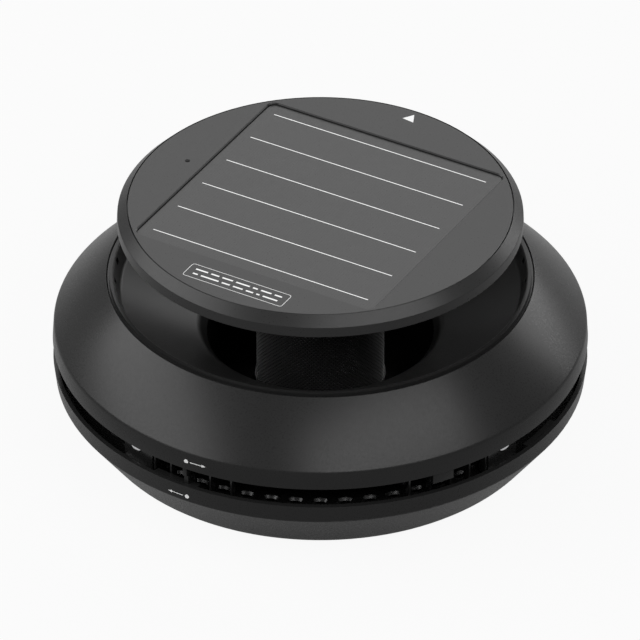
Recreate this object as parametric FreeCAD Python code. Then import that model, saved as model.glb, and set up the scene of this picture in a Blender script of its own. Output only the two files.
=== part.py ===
import FreeCAD, Part
import math
import os

from FreeCAD import Vector

# A round, free-standing, solar-powered ventilator: a bowl-shaped base, an upper housing that twist-locks
# onto it, a screened outlet tower in the housing's dish, and a flat round cap that carries the panel.
# +Z is up, the front is -Y, and the origin is on the ground under the centre. Millimetres and degrees.

# Overall shape
HEIGHT = 140.0            # ground to the cap's top face
FLOOR = 2.0               # underside of the bowl, above its feet
WALL = 2.4                # moulded walls
DISH_WALL = 2.0
SLACK = 0.1               # between pieces of one body
CLEAR = 0.4               # between pieces that move past each other
FRONT = -90.0             # direction of the front, from +X

# Cap and panel
CAP_R = 111.0
CAP_LOW = 128.8
CAP_CHAMFER_LOW = 134.9
CAP_FACE_R = 105.6
CAP_FLOOR = 126.3         # underside of the cap's dropped middle
PLATE = 2.2
PLATE_GROOVE = 0.5        # parting line round the top plate
PANEL = 148.0
PANEL_CORNER = 4.4
PANEL_SINK = 1.2          # panel face below the cap's top face
PANEL_THICK = 2.6
GLUE_THICK = 0.5
PANEL_TURN = -30.0
TRAY_WALL = 1.8
BUSBAR_LENGTH = 134.0
BUSBAR_SPACING = 26.0
BUSBAR_WIDTH = 0.5
BUSBARS = 6
LED_R = 84.2              # from the axis, on the panel's -X side
LED_LENS_R = 1.35
BOARD_Z = 130.7
BOARD_TOP = 132.4

# Upper housing
LIP_R = 115.6             # outer edge of the dish's lip
LIP_Z = 95.7
COVER_TOP_R = 117.4
COVER_TOP_Z = 94.6
COVER_EDGE_R = 146.6      # where the cone meets the upright band
COVER_EDGE_Z = 65.0
BAND_R = 147.3
BAND_LOW = 54.8
CREASE_R = 110.0
CREASE_Z = 85.0
THROAT_R = 62.4
THROAT_LOW = 56.0
WELL_R = 64.9             # inside of the wall round the well under the throat

# Base
RIM_R = 147.2
RIM_Z = 43.1
BOWL_EDGE_R = 146.0
BOWL_EDGE_Z = 32.5
BOWL_CORNER_R = 123.6     # where the bowl's cone would meet its flat bottom
BOWL_FILLET = 13.2
VENT_RING_Z = 33.4
VENT_RING_IN = 110.0
VENT_RING_OUT = 141.4
VENT_HOLES = 60
VENT_HOLES_R = 128.0
INTAKE_R = 36.0
INTAKE_DEPTH = 8.4        # free length of the intake bore
BOLT_CIRCLE_R = 100.0
BOLT_HOLE_R = 2.2
FOOT_R = 9.0
WEBS = 8

# Deck, duct and tower
DECK_Z = 44.0
DECK_UNDER = 40.9
WELL_FLOOR = 17.4         # underside of the well's floor
WELL_WALL = 2.0
DUCT_R = 31.0
DUCT_LOW = 14.0
MESH_R = 35.2
MESH_THICK = 0.7
TOWER_TOP = 123.2
TOWER_OUT = MESH_R - MESH_THICK - SLACK
TOWER_FOOT_TOP = DECK_Z + 5 + 2 * SLACK
POSTS = 4
TOWER_SCREW_START = 22.5   # turns the foot screws clear of the posts, the arms and the lead
SERVICE_R = 109.5         # outer wall of the battery compartment
BOSS_CIRCLE_R = 88.0
DECK_SCREW_R = 68.4
TOWER_SCREW_R = 32.7
CAP_SCREW_R = 95.0
TOP_SCREW_R = 39.7
RING_SCREW_R = 118.0

# Twist lock, by angle from the front
LOCK_TURN = 12.0
RIB_ANGLES = (20.0, 25.0, 30.0, 35.0, 39.5)
RIB_WIDTH = 1.2
SCREW_DEPTH = 6.0         # guard screw head, below the guard's top
LEG_ANGLES = (40.2, 49.0)
GUARD_IN = 134.0
GUARD_OUT = 140.6
GUARD_LOW = 35.9
GUARD_TOP = 60.0
RAIL_LOW = 57.2
CATCH_LOW = 39.5
MARK_ANGLE = -30.0
TAB_ANGLES = (25.6, 30.0)
TAB_HEIGHT = 6.6

# Motor, fan and battery
MOTOR_R = 14.0
MOTOR_LOW = 44.2
MOTOR_TOP = 76.2
MOTOR_CUP_R = MOTOR_R + 2.2
SHAFT_R = 1.15
FAN_R = 30.2
FAN_LOW = 18.0
FAN_HIGH = 36.0
FAN_HUB_R = 10.0
BLADES = 5
CELL_R = 9.2
CELL_LENGTH = 65.0
CELL_ANGLES = {"a": 60.0, "b": 120.0}
CELL_Z = 54.4
LEAD_Z = 49.5
LEAD_R = 1.3
LEAD_HOLE_R = 1.5
LEAD_BEND = 3.0
PLUG_Y = 78.0
CAP_LEAD_Z = 130.0        # leads, inside the cap
LEAD_RISE_Y = (27.0, 21.0)  # battery and motor leads, where they rise inside the tower
BUTTON_R = 5.0
BUTTON_PLACE = 86.0       # from the axis, on the panel's +X side
BUTTON_LOW = 124.6
BUTTON_TRAVEL = 1.5
STEM_TOP = 131.0
SWITCH_TOP = 136.2

TOUCH = 1e-6
Z_AXIS = Vector(0, 0, 1)


# ---------------------------------------------------------------- outlines and solids

def rounded_wire(points):
    """Close (r, z) or (r, z, radius) points in the XZ plane; a radius becomes a tangent arc."""
    places = [Vector(point[0], 0, point[1]) for point in points]
    count = len(points)
    corners = []
    for index, place in enumerate(places):
        if len(points[index]) < 3 or points[index][2] < TOUCH:
            corners.append((place, None, place))
            continue
        radius = points[index][2]
        before = (places[index - 1] - place).normalize()
        after = (places[(index + 1) % count] - place).normalize()
        half = before.getAngle(after) / 2
        reach = radius / math.tan(half)
        inward = (before + after).normalize()
        middle = place + inward * (radius / math.sin(half) - radius)
        corners.append((place + before * reach, middle, place + after * reach))
    edges = []
    for index, (arrive, middle, leave) in enumerate(corners):
        if middle:
            edges.append(Part.Arc(arrive, middle, leave).toShape())
        onward = corners[(index + 1) % count][0]
        if (onward - leave).Length > TOUCH:
            edges.append(Part.LineSegment(leave, onward).toShape())
    return Part.Wire(edges)


def offset_path(path, distance):
    """Shift an open path to the left of its travel, with mitred corners and matching radii."""
    headings = [math.atan2(b[1] - a[1], b[0] - a[0]) for a, b in zip(path, path[1:])]
    shifted = []
    for index, point in enumerate(path):
        arriving = headings[max(index - 1, 0)]
        leaving = headings[min(index, len(headings) - 1)]
        turn = (leaving - arriving + math.pi) % (2 * math.pi) - math.pi
        sideways = arriving + turn / 2 + math.pi / 2
        reach = distance / math.cos(turn / 2)
        radius = point[2] if len(point) > 2 else 0.0
        if radius:
            radius = max(radius - math.copysign(1, turn) * distance, 0.0)
        shifted.append((point[0] + reach * math.cos(sideways), point[1] + reach * math.sin(sideways), radius))
    return shifted


def walled(path, thickness):
    """Closed outline of a wall that lies to the left of an open path."""
    return list(path) + offset_path(path, thickness)[::-1]


def lathe(points, sweep=360.0):
    """Turn a closed (r, z) outline about the axis, from the +X direction."""
    return Part.Face(rounded_wire(points)).revolve(Vector(), Z_AXIS, sweep)


def turn(shape, angle):
    """Copy of a shape, turned about the axis."""
    copy = shape.copy()
    copy.rotate(Vector(), Z_AXIS, angle)
    return copy


def sector(inner, outer, low, high, start, end):
    """Curved block between two radii, two heights and two angles from the front."""
    outline = [(inner, low), (outer, low), (outer, high), (inner, high)]
    return turn(lathe(outline, end - start), FRONT + start)


def tube(outer, inner, low, high):
    return lathe([(inner, low), (outer, low), (outer, high), (inner, high)])


def rod(radius, low, high, x=0.0, y=0.0):
    return Part.makeCylinder(radius, high - low, Vector(x, y, low))


def outward_rod(radius, start, end, z, x=0.0):
    """Level round bar along +Y."""
    return Part.makeCylinder(radius, end - start, Vector(x, start, z), Vector(0, 1, 0))


def block(x, y, low, high, at=(0.0, 0.0)):
    """Upright box, x by y, centred on a point."""
    return Part.makeBox(x, y, high - low, Vector(at[0] - x / 2, at[1] - y / 2, low))


def around(shape, angles):
    """Copies of a shape at several angles about the axis."""
    return [turn(shape, angle) for angle in angles]


def even(count, start=0.0):
    """Evenly spaced angles, round the full circle."""
    return [start + 360.0 * index / count for index in range(count)]


def on_panel(shape):
    """Turn a shape from the panel's own square axes to its place on the cap."""
    return turn(shape, PANEL_TURN)


def joined(shape, others):
    return shape.fuse(others).removeSplitter()


def rounded_square(side, corner, z):
    """Wire of a square with rounded corners, centred on the axis."""
    half = side / 2
    corners = [(-half, -half, corner), (half, -half, corner), (half, half, corner), (-half, half, corner)]
    wire = rounded_wire(corners)
    wire.rotate(Vector(), Vector(1, 0, 0), -90)
    wire.translate(Vector(0, 0, z))
    return wire


def square_slab(side, corner, low, high):
    face = Part.Face(rounded_square(side, corner, low))
    return face.extrude(Vector(0, 0, high - low))


def screw(radius, length, head_r, head_high, x, y, z, from_below=False):
    """Cross-head screw whose head bears on height z; its shank runs down, or up from below."""
    shank = rod(radius, -length, SLACK / 2)
    head = Part.makeCylinder(head_r, head_high)
    head = head.makeFillet(head_high * 0.4, [head.Edges[0]])
    recess = [block(head_r, head_r / 4, head_high / 2, head_high * 2),
              block(head_r / 4, head_r, head_high / 2, head_high * 2)]
    body = joined(head.cut(recess), [shank])
    if from_below:
        body.rotate(Vector(), Vector(1, 0, 0), 180)
    body.translate(Vector(x, y, z))
    return body


def polar(radius, angle):
    return radius * math.cos(math.radians(angle)), radius * math.sin(math.radians(angle))


def screws(angles, circle, radius, length, head_r, head_high, z, from_below=False):
    """A ring of like screws, as separate solids."""
    ring = [screw(radius, length, head_r, head_high, *polar(circle, a), z, from_below) for a in angles]
    return Part.makeCompound(ring)


def held_lead(points, radius, bend):
    """Round lead along straight runs, joined by tangent arcs of one radius."""
    places = [Vector(*point) for point in points]
    edges = []
    start = places[0]
    for before, corner, after in zip(places, places[1:], places[2:]):
        back = (before - corner).normalize()
        onward = (after - corner).normalize()
        half = back.getAngle(onward) / 2
        reach = bend / math.tan(half)
        middle = corner + (back + onward).normalize() * (bend / math.sin(half) - bend)
        edges.append(Part.LineSegment(start, corner + back * reach).toShape())
        edges.append(Part.Arc(corner + back * reach, middle, corner + onward * reach).toShape())
        start = corner + onward * reach
    edges.append(Part.LineSegment(start, places[-1]).toShape())
    section = Part.Wire(Part.makeCircle(radius, places[0], places[1] - places[0]))
    return Part.Wire(edges).makePipeShell([section], True, False)


def lead_way(radius=LEAD_HOLE_R):
    """Cutter along the battery lead, from the tower out to the compartment at the back."""
    return outward_rod(radius, 20.0, WELL_R + 6, LEAD_Z)


def save(name, shape):
    shape.exportStep(os.path.join("parts", name + ".step"))


# ---------------------------------------------------------------- base

def bowl_outside():
    """Outside of the bowl, from the intake to the rim."""
    bottom_corner = (BOWL_CORNER_R, FLOOR, BOWL_FILLET)
    return [(INTAKE_R, FLOOR), bottom_corner, (BOWL_EDGE_R, BOWL_EDGE_Z, 2.0), (RIM_R, RIM_Z)]


def base_bowl():
    """Bowl with its intake collar, webs, screw bosses, twist-lock catches and the stop under the mark."""
    bowl = lathe(walled(bowl_outside(), WALL))
    collar_top = WELL_FLOOR - CLEAR - 0.4
    step = FLOOR + INTAKE_DEPTH
    collar = lathe([(INTAKE_R, FLOOR), (INTAKE_R + 3, FLOOR), (INTAKE_R + 3, collar_top),
                    (INTAKE_R + 1, collar_top), (INTAKE_R + 1, step), (INTAKE_R, step)])
    web_top = VENT_RING_Z - 2.0
    web_in = VENT_RING_IN + 2.0
    web_low = FLOOR + 1
    web_outline = [(web_in, web_low), (BOWL_CORNER_R - 1, web_low), (BOWL_EDGE_R - 2.6, web_top),
                   (web_in, web_top)]
    web = Part.Face(rounded_wire(web_outline)).extrude(Vector(0, 2, 0))
    web.translate(Vector(0, -1, 0))
    webs = around(web, even(WEBS, 22.5))
    boss = rod(3.6, FLOOR + 1, web_top, *polar(RING_SCREW_R, 0.0))
    bosses = around(boss, even(4, 22.5))
    catches = [sector(GUARD_OUT + 0.7, RIM_R - 1, CATCH_LOW, RIM_Z, centre + 10.8, centre + 21.8)
               for centre in (LEG_ANGLES[0], -LEG_ANGLES[1], 180 - LEG_ANGLES[1], 180 + LEG_ANGLES[0])]
    stop = sector(GUARD_OUT + 0.9, RIM_R - 2.7, RIM_Z - 3, RIM_Z + 5.2, MARK_ANGLE - 0.5, MARK_ANGLE + 0.5)
    foot_seats = around(rod(FOOT_R + 1.6, FLOOR + 1, FLOOR + 4, *polar(BOLT_CIRCLE_R, 0.0)), even(4, 45.0))
    body = joined(bowl, [collar, stop] + webs + bosses + catches + foot_seats)
    bolt = rod(BOLT_HOLE_R, 0, FLOOR + 6, *polar(BOLT_CIRCLE_R, 0.0))
    pilot = rod(1.35, FLOOR + 8, web_top + 1, *polar(RING_SCREW_R, 0.0))
    pocket = rod(FOOT_R, 0, FLOOR + 1.5, *polar(BOLT_CIRCLE_R, 0.0))
    return body.cut(around(bolt, even(4)) + around(pilot, even(4, 22.5)) + around(pocket, even(4, 45.0)))


def rubber_foot(angle):
    """Glued rubber foot with a domed edge, standing in its pocket."""
    foot = lathe([(0, 0), (FOOT_R - 0.2, 0, 0.8), (FOOT_R - 0.2, FLOOR + 1.4), (0, FLOOR + 1.4)])
    foot.translate(Vector(*polar(BOLT_CIRCLE_R, angle), 0))
    return foot


def vent_ring():
    """Perforated ring over the webs, with an upturned inner edge."""
    low = VENT_RING_Z - 1.9
    upturn = VENT_RING_Z + 4
    ring = lathe([(VENT_RING_IN, low), (VENT_RING_OUT, low), (VENT_RING_OUT, VENT_RING_Z),
                  (VENT_RING_IN + 2, VENT_RING_Z), (VENT_RING_IN + 2, upturn), (VENT_RING_IN, upturn)])
    slot_long = 8.0
    slot_wide = 4.4
    straight = slot_long - slot_wide
    high = VENT_RING_Z + 1
    ends = [rod(slot_wide / 2, low - 1, high, VENT_HOLES_R, side * straight / 2) for side in (-1, 1)]
    slot = joined(block(slot_wide, straight, low - 1, high, (VENT_HOLES_R, 0)), ends)
    hole = rod(1.4, low - 1, VENT_RING_Z + 1, *polar(RING_SCREW_R, 0.0))
    return ring.cut(around(slot, even(VENT_HOLES)) + around(hole, even(4, 22.5)))


def intake_grille():
    """Round grille in the collar: rim, two rings, spokes and a hub."""
    low = FLOOR + INTAKE_DEPTH + SLACK
    high = low + 2.2
    rim = tube(INTAKE_R + 0.9, INTAKE_R - 2.2, low, high)
    hub = rod(5.0, low, high)
    rings = [tube(radius + 0.9, radius - 0.9, low, high) for radius in (14.0, 24.0)]
    spoke = block(INTAKE_R - 5, 1.8, low, high, ((INTAKE_R + 1) / 2, 0))
    return joined(rim, [hub] + rings + around(spoke, even(8)))


def duct_gasket():
    """Soft ring in the collar's mouth that wipes the fan duct."""
    low = 13.0
    return lathe([(DUCT_R + 2 + CLEAR, low + 1.2), (INTAKE_R + 0.9, low), (INTAKE_R + 0.9, low + 3.4),
                  (DUCT_R + 2 + CLEAR, low + 2.4)])


# ---------------------------------------------------------------- upper housing

def cover_outside():
    """Outside of the ring cover, from the dish's lip down the cone and the band."""
    return [(COVER_TOP_R, COVER_TOP_Z, 0.6), (COVER_EDGE_R, COVER_EDGE_Z, 2.0), (BAND_R, BAND_LOW)]


def guard_places():
    """The four quarter guards: the angle of the middle that each belongs to, and its side of that."""
    return {"front_right": (0.0, 1), "front_left": (0.0, -1),
            "back_left": (180.0, 1), "back_right": (180.0, -1)}


def leg_angle(centre, side):
    return FRONT + centre + side * sum(LEG_ANGLES) / 2


def ring_cover():
    """Cone and band, the ledge under the dish, the guard posts, two tabs and the half rib over the mark."""
    outside = cover_outside()
    inside = offset_path(outside, -WALL)
    ledge_z = LIP_Z - DISH_WALL - SLACK
    ledge_in = LIP_R - 0.6
    ledge_low = ledge_z - 2.2
    shell = lathe([(ledge_in, ledge_z), (COVER_TOP_R - 0.6, ledge_z)] + outside
                  + [inside[2], inside[1], (inside[0][0] - 0.2, ledge_low), (ledge_in, ledge_low)])
    post_r = (GUARD_IN + GUARD_OUT) / 2
    posts = [rod(3.4, GUARD_TOP + SLACK, COVER_EDGE_Z + 5, *polar(post_r, leg_angle(*place)))
             for place in guard_places().values()]
    tab_in = GUARD_OUT + 0.9
    tab = sector(tab_in, BAND_R - 1.2, BAND_LOW - TAB_HEIGHT, RAIL_LOW - SLACK, *TAB_ANGLES)
    rear_tab = turn(tab, 180.0)
    half_rib = sector(tab_in, BAND_R - 1.2, RIM_Z + 5.8, RAIL_LOW - SLACK, MARK_ANGLE - 0.5, MARK_ANGLE + 0.5)
    body = joined(shell, posts + [tab, rear_tab, half_rib])
    pilots = [rod(1.35, GUARD_TOP, GUARD_TOP + 6, *polar(post_r, leg_angle(*place)))
              for place in guard_places().values()]
    return body.cut(pilots)


def vent_guard(centre, side):
    """Quarter guard in the side gap: top rail, five ribs and the leg with its twist-lock lug."""
    span = sorted((side * (RIB_ANGLES[0] - 0.6), side * LEG_ANGLES[1]))
    rail = sector(GUARD_IN, GUARD_OUT + 3.2, RAIL_LOW, GUARD_TOP, *span)
    rib_depth = GUARD_OUT - GUARD_IN - 1.5
    rib = block(rib_depth, RIB_WIDTH, GUARD_LOW + 1, GUARD_TOP, (GUARD_OUT - rib_depth / 2, 0))
    ribs = around(rib, [FRONT + side * angle for angle in RIB_ANGLES])
    leg_span = sorted(side * angle for angle in LEG_ANGLES)
    leg = sector(GUARD_IN, GUARD_OUT, GUARD_LOW, GUARD_TOP, *leg_span)
    lug = sector(GUARD_OUT - 1, GUARD_OUT + 2.2, GUARD_LOW, CATCH_LOW - CLEAR, *leg_span)
    x, y = polar((GUARD_IN + GUARD_OUT) / 2, leg_angle(0.0, side))
    screw_way = rod(1.6, GUARD_LOW - 1, GUARD_TOP + 1, x, y)
    head_way = rod(2.6, GUARD_LOW - 1, GUARD_TOP - SCREW_DEPTH, x, y)
    body = joined(rail, ribs + [leg, lug]).cut([screw_way, head_way])
    return turn(body, centre)


def guard_screws():
    angles = [leg_angle(*place) for place in guard_places().values()]
    return screws(angles, (GUARD_IN + GUARD_OUT) / 2, 1.3, 11.0, 2.4, 1.6, GUARD_TOP - SCREW_DEPTH, True)


def dish_top():
    """Upper face of the dish, from the lip inwards and down to the throat."""
    lip_in = (LIP_R - 2.4, LIP_Z, 0.8)
    crease = (CREASE_R, CREASE_Z, 2.5)
    throat_edge = (THROAT_R + 4.4, THROAT_LOW + 7, 5.0)
    return [(LIP_R, LIP_Z), lip_in, crease, throat_edge, (THROAT_R, THROAT_LOW)]


def dish_slot(angle, width, low, high):
    """Cutter through the dish's steep wall at an angle from the front."""
    return sector(CREASE_R - 6, LIP_R + 1, low, high, angle - width / 2, angle + width / 2)


def dish():
    """Funnel-shaped dish with its screw bosses, snap tabs and the slots in its steep wall."""
    body = lathe(walled(dish_top(), DISH_WALL))
    boss = rod(3.6, DECK_Z + SLACK, 72.4, *polar(BOSS_CIRCLE_R, 0.0))
    body = joined(body, around(boss, even(6, 30.0)))
    cutters = around(rod(1.35, DECK_Z - 1, DECK_Z + 12, *polar(BOSS_CIRCLE_R, 0.0)), even(6, 30.0))
    slot_low = CREASE_Z + 2.6
    slot_high = slot_low + 3.6
    for side in (-1, 1):
        cutters.append(dish_slot(side * 97.0, 1.5, slot_low, slot_high))
        cutters.append(dish_slot(side * 87.0, 1.5, slot_low, slot_high))
        for angle, width in ((63.0, 9.0), (37.0, 3.5), (26.0, 3.5)):
            cutters.append(dish_slot(side * angle, width, slot_low, slot_low + 1.0))
            cutters.append(dish_slot(180.0 - side * angle, width, slot_low, slot_low + 1.0))
    cutters.append(dish_slot(-93.0, 1.8, CREASE_Z - 3.5, CREASE_Z - 1.6))
    cutters.append(dish_slot(81.4, 1.8, CREASE_Z - 3.5, CREASE_Z - 1.6))
    return body.cut(cutters)


def service_pan():
    """Ring-shaped battery compartment under the dish: floor, two walls and the lead's hole."""
    thick = 2.0
    low = DECK_Z - thick
    outer_top = CREASE_Z - 6
    inner_top = THROAT_LOW - 1.6
    body = lathe([(WELL_R, low), (SERVICE_R, low), (SERVICE_R, outer_top), (SERVICE_R - thick, outer_top),
                  (SERVICE_R - thick, DECK_Z), (WELL_R + thick, DECK_Z), (WELL_R + thick, inner_top),
                  (WELL_R, inner_top)])
    rebate = tube(WELL_R + 5, WELL_R - 1, DECK_Z - 3, DECK_Z - 1)
    hole = rod(1.45, DECK_Z - 3, DECK_Z + 1, *polar(BOSS_CIRCLE_R, 0.0))
    grommet_hole = lead_way(2.6)
    deck_hole = rod(1.35, DECK_Z - 3, DECK_Z + 1, *polar(DECK_SCREW_R, 0.0))
    return body.cut([rebate, grommet_hole] + around(hole, even(6, 30.0)) + around(deck_hole, even(6)))


def fan_duct():
    """Round well under the dish's throat, with the fan's duct standing in the middle of its floor."""
    edge_out = WELL_R + 4.8
    wall_out = WELL_R - SLACK
    wall_in = wall_out - WELL_WALL
    shelf = DECK_Z - 1 - SLACK
    floor_top = WELL_FLOOR + WELL_WALL
    body = lathe([(DUCT_R, DUCT_LOW), (DUCT_R + 2, DUCT_LOW), (DUCT_R + 2, WELL_FLOOR),
                  (wall_out, WELL_FLOOR), (wall_out, DECK_UNDER), (edge_out, DECK_UNDER),
                  (edge_out, shelf), (wall_out, shelf), (wall_out, DECK_Z), (wall_in, DECK_Z),
                  (wall_in, floor_top), (DUCT_R + 2, floor_top), (DUCT_R + 2, DECK_UNDER),
                  (TOWER_OUT, DECK_UNDER + 1), (TOWER_OUT, DECK_Z), (DUCT_R, DECK_Z)])
    edge_hole = rod(1.45, DECK_Z - 5, DECK_Z, *polar(DECK_SCREW_R, 0.0))
    tower_hole = rod(1.05, DECK_Z - 5, DECK_Z + 1, *polar(TOWER_SCREW_R, 0.0))
    return body.cut(around(edge_hole, even(6)) + around(tower_hole, even(POSTS, TOWER_SCREW_START)))


# ---------------------------------------------------------------- tower

def motor_mount():
    """Clamped ring with three arms, which carry the motor's cup."""
    low = DECK_Z + SLACK
    ring = tube(MESH_R - MESH_THICK - SLACK, DUCT_R - 2, low, low + 2)
    arm_start = MOTOR_CUP_R + SLACK
    arm = block(DUCT_R - arm_start, 4.0, low, low + 3.6, ((DUCT_R + arm_start) / 2, 0))
    hole = rod(1.2, low - 1, low + 5, *polar(TOWER_SCREW_R, 0.0))
    return joined(ring, around(arm, even(3, FRONT))).cut(around(hole, even(POSTS, TOWER_SCREW_START)))


def motor_cup():
    """Open cup between the arms that holds the motor."""
    low = DECK_Z + SLACK
    bore = 3.2
    rim = 60.0
    return lathe([(bore, low - 2.2), (MOTOR_CUP_R, low - 2.2), (MOTOR_CUP_R, rim), (MOTOR_R + SLACK, rim),
                  (MOTOR_R + SLACK, low), (bore, low)])


def tower_foot():
    """Ring at the tower's foot, under the posts, with a notch for the battery lead."""
    low = DECK_Z + 2 + 2 * SLACK
    ring = tube(TOWER_OUT, DUCT_R + 0.2, low, TOWER_FOOT_TOP)
    hole = rod(1.2, low - 1, TOWER_FOOT_TOP + 1, *polar(TOWER_SCREW_R, 0.0))
    return ring.cut(around(hole, even(POSTS, TOWER_SCREW_START)) + [lead_way()])


def tower_posts():
    """Four posts that carry the cap and stretch the screen."""
    low = TOWER_FOOT_TOP + SLACK
    high = TOWER_TOP - SLACK
    post = block(3.4, 6.0, low, high, (TOWER_OUT - 1.8, 0)).common(rod(TOWER_OUT, low, high))
    return Part.makeCompound(around(post, even(POSTS, 45.0)))


def tower_flange():
    """Flat ring on top of the posts, screwed to the cap, with the leads' holes."""
    high = CAP_FLOOR - SLACK
    flange = tube(MESH_R + 8, 14.0, TOWER_TOP, high)
    top_hole = rod(1.6, TOWER_TOP - 1, high + 1, *polar(TOP_SCREW_R, 0.0))
    lead_holes = [rod(LEAD_HOLE_R, TOWER_TOP - 1, high + 1, 0, y) for y in LEAD_RISE_Y]
    return flange.cut(around(top_hole, even(POSTS)) + lead_holes)


def mesh_screen():
    """Screen wrapped round the tower, with the lead's hole at the back."""
    sleeve = tube(MESH_R, MESH_R - MESH_THICK, WELL_FLOOR + WELL_WALL + 1, TOWER_TOP - SLACK)
    return sleeve.cut(lead_way())


def mesh_foot_ring():
    """Flared ring that clamps the screen's lower edge to the well's floor."""
    floor = WELL_FLOOR + WELL_WALL
    high = floor + 8.8
    return lathe([(MESH_R + SLACK, floor + SLACK / 2), (MESH_R + 3.6, floor + SLACK / 2, 0.4),
                  (MESH_R + 1.4, floor + 5, 3.0), (MESH_R + 1.1, high, 0.4), (MESH_R + SLACK, high)])


# ---------------------------------------------------------------- motor and fan

def motor_can():
    low = MOTOR_LOW
    return lathe([(3.0, low), (MOTOR_R, low, 1.0), (MOTOR_R, MOTOR_TOP), (MOTOR_R - 1, MOTOR_TOP),
                  (MOTOR_R - 1, low + 1), (3.0, low + 1)])


def motor_end_cap():
    """Plastic brush carrier that closes the can, with its bearing seat and terminal slots."""
    plug_r = MOTOR_R - 1 - SLACK
    plug_low = MOTOR_TOP - 3
    seat = MOTOR_TOP + SLACK
    face = MOTOR_TOP + 1.6
    boss = MOTOR_TOP + 2.8
    body = lathe([(3.0, boss), (3.0, plug_low), (plug_r, plug_low), (plug_r, seat), (MOTOR_R, seat),
                  (MOTOR_R, face, 0.8), (6.0, face), (6.0, boss)])
    return body.cut([block(4.0, 1.0, MOTOR_TOP - 4, MOTOR_TOP + 3, (0, side * 9.0)) for side in (-1, 1)])


def motor_magnets():
    """Two curved magnets inside the can."""
    outer = MOTOR_R - 1 - SLACK
    return Part.makeCompound([sector(outer - 2.2, outer, MOTOR_LOW + 4, MOTOR_TOP - 6, start, start + 130)
                              for start in (-65, 115)])


def motor_bearings():
    """Two sintered bushes, one at each end of the motor."""
    bore = SHAFT_R + 0.05
    return Part.makeCompound([tube(2.9, bore, MOTOR_LOW - 1.8, MOTOR_LOW + 2.4),
                              tube(2.9, bore, MOTOR_TOP - 1.5, MOTOR_TOP + 2.6)])


def motor_shaft():
    return rod(SHAFT_R, FAN_LOW + 1.5, MOTOR_TOP + 3.4)


def armature():
    """Laminated core with its three wound poles, on the shaft."""
    low = MOTOR_LOW + 6
    high = MOTOR_TOP - 9
    core = tube(4.6, SHAFT_R, low, high)
    pole = sector(4.2, MOTOR_R - 4.0, low, high, -16, 16)
    shoe = sector(MOTOR_R - 5.2, MOTOR_R - 4.0, low, high, -50, 50)
    return joined(core, around(pole, even(3)) + around(shoe, even(3)))


def commutator():
    return tube(3.4, SHAFT_R, MOTOR_TOP - 8.6, MOTOR_TOP - 3.6)


def blade_section(reach, chord, pitch):
    """Thin section of a blade, square to the radius at one reach."""
    half = chord / 2
    thick = 0.7
    angle = math.radians(pitch)
    along = Vector(0, math.cos(angle), math.sin(angle))
    across = Vector(0, -math.sin(angle), math.cos(angle))
    centre = Vector(reach, 0, (FAN_LOW + FAN_HIGH) / 2)
    corners = [centre + along * (half * a) + across * (thick * b)
               for a, b in ((-1, -1), (1, -1), (1, 1), (-1, 1))]
    return Part.makePolygon(corners + corners[:1])


def impeller():
    """Axial fan: domed hub, a bore for the shaft, and twisted blades trimmed to the duct."""
    nose = FAN_LOW + 3
    floor = FAN_LOW + 6
    boss_top = FAN_HIGH - 4
    hub = lathe([(SHAFT_R, nose), (FAN_HUB_R, nose, 3.0), (FAN_HUB_R, FAN_HIGH), (FAN_HUB_R - 1.6, FAN_HIGH),
                 (FAN_HUB_R - 1.6, floor), (3.4, floor), (3.4, boss_top), (SHAFT_R, boss_top)])
    root = blade_section(FAN_HUB_R - 0.8, 14.0, 46.0)
    middle = blade_section(20.0, 17.0, 34.0)
    tip = blade_section(FAN_R + 1, 19.0, 25.0)
    blade = Part.makeLoft([root, middle, tip], True, True).common(rod(FAN_R, FAN_LOW, FAN_HIGH))
    return joined(hub, around(blade, even(BLADES)))


def impeller_clip():
    """Push-on washer under the hub."""
    return tube(4.0, SHAFT_R, FAN_LOW + 2, FAN_LOW + 3)


# ---------------------------------------------------------------- battery and leads

def place_cell(shape, angle):
    """Lay an upright shape on its side, tangent to the boss circle."""
    copy = shape.copy()
    copy.rotate(Vector(), Vector(1, 0, 0), 90)
    copy.translate(Vector(BOSS_CIRCLE_R, 0, CELL_Z))
    return turn(copy, angle)


def battery_cell(angle):
    half = CELL_LENGTH / 2
    shoulder = half - 1
    cell = lathe([(0, -half), (CELL_R, -half, 0.6), (CELL_R, shoulder, 0.6), (3.2, shoulder),
                  (3.2, half), (0, half)])
    return place_cell(cell, angle)


def battery_holder(angle):
    """Open cradle with end walls, standing on the compartment's floor."""
    half = CELL_LENGTH / 2 + 0.6
    low = DECK_Z + SLACK
    frame = block(2 * CELL_R + 3.2, 2 * half + 2.4, low, CELL_Z, (BOSS_CIRCLE_R, 0))
    hollow = outward_rod(CELL_R + SLACK, -half, half, CELL_Z, BOSS_CIRCLE_R)
    return turn(frame.cut(hollow), angle)


def battery_contacts():
    """Nickel tabs between the cells' ends and their holders."""
    reach = CELL_LENGTH / 2 + 0.3
    tabs = []
    for angle in CELL_ANGLES.values():
        for side in (-1, 1):
            tab = block(7.0, 0.4, CELL_Z - 4, CELL_Z + 7, (BOSS_CIRCLE_R, side * reach))
            tabs.append(turn(tab, angle))
    return Part.makeCompound(tabs)


def lead_grommet():
    """Rubber grommet where the lead enters the compartment."""
    flange_start = WELL_R + 2 + SLACK
    neck = outward_rod(2.5, WELL_R, flange_start + SLACK, LEAD_Z)
    flange = outward_rod(3.6, flange_start, flange_start + 1, LEAD_Z)
    return joined(neck, [flange]).cut(outward_rod(LEAD_R + 0.05, WELL_R - 1, flange_start + 2, LEAD_Z))


def lead_plug():
    return block(8.0, 8.0, LEAD_Z - 2.6, LEAD_Z + 2.6, (0, PLUG_Y))


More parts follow.
